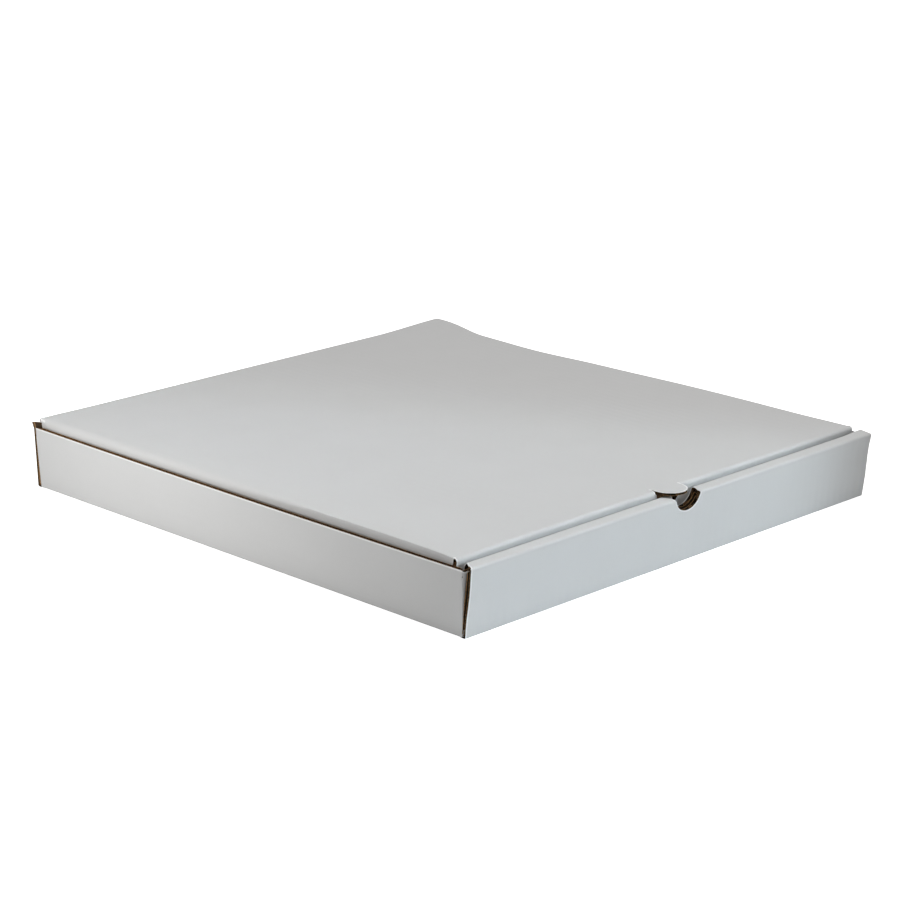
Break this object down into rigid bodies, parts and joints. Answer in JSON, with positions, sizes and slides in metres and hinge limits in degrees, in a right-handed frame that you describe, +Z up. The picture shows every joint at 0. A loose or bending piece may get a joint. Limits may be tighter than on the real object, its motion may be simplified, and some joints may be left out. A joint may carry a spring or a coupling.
{
  "type": "pizza box",
  "caption": "Shallow folded card takeaway box with a rolled double front wall, a thumb notch, and a hinged lid whose flaps tuck inside.",
  "frame": {"origin": "middle of the bottom's underside, between the feet of the four walls", "axes": "+Z up through the closed lid, +X to the right seen from the notched front wall, +Y from the front wall to the hinged back wall"},
  "size_m": [0.338, 0.3577, 0.0417],
  "materials": {
    "tray_card": "matt white liner outside, brown kraft inside and at the raw edges",
    "lid_card": "matt white liner outside, brown kraft inside and at the raw edges"
  },
  "bodies": {
    "tray": {"tray": "tray_card"},
    "lid": {"lid": "lid_card"}
  },
  "joints": [
    {"name": "lid_hinge", "type": "hinge", "parent": "tray", "child": "lid", "pos_m": [0, 0.1783, 0.0417], "axis": [-1, 0, 0], "range_deg": [0, 186]}
  ]
}
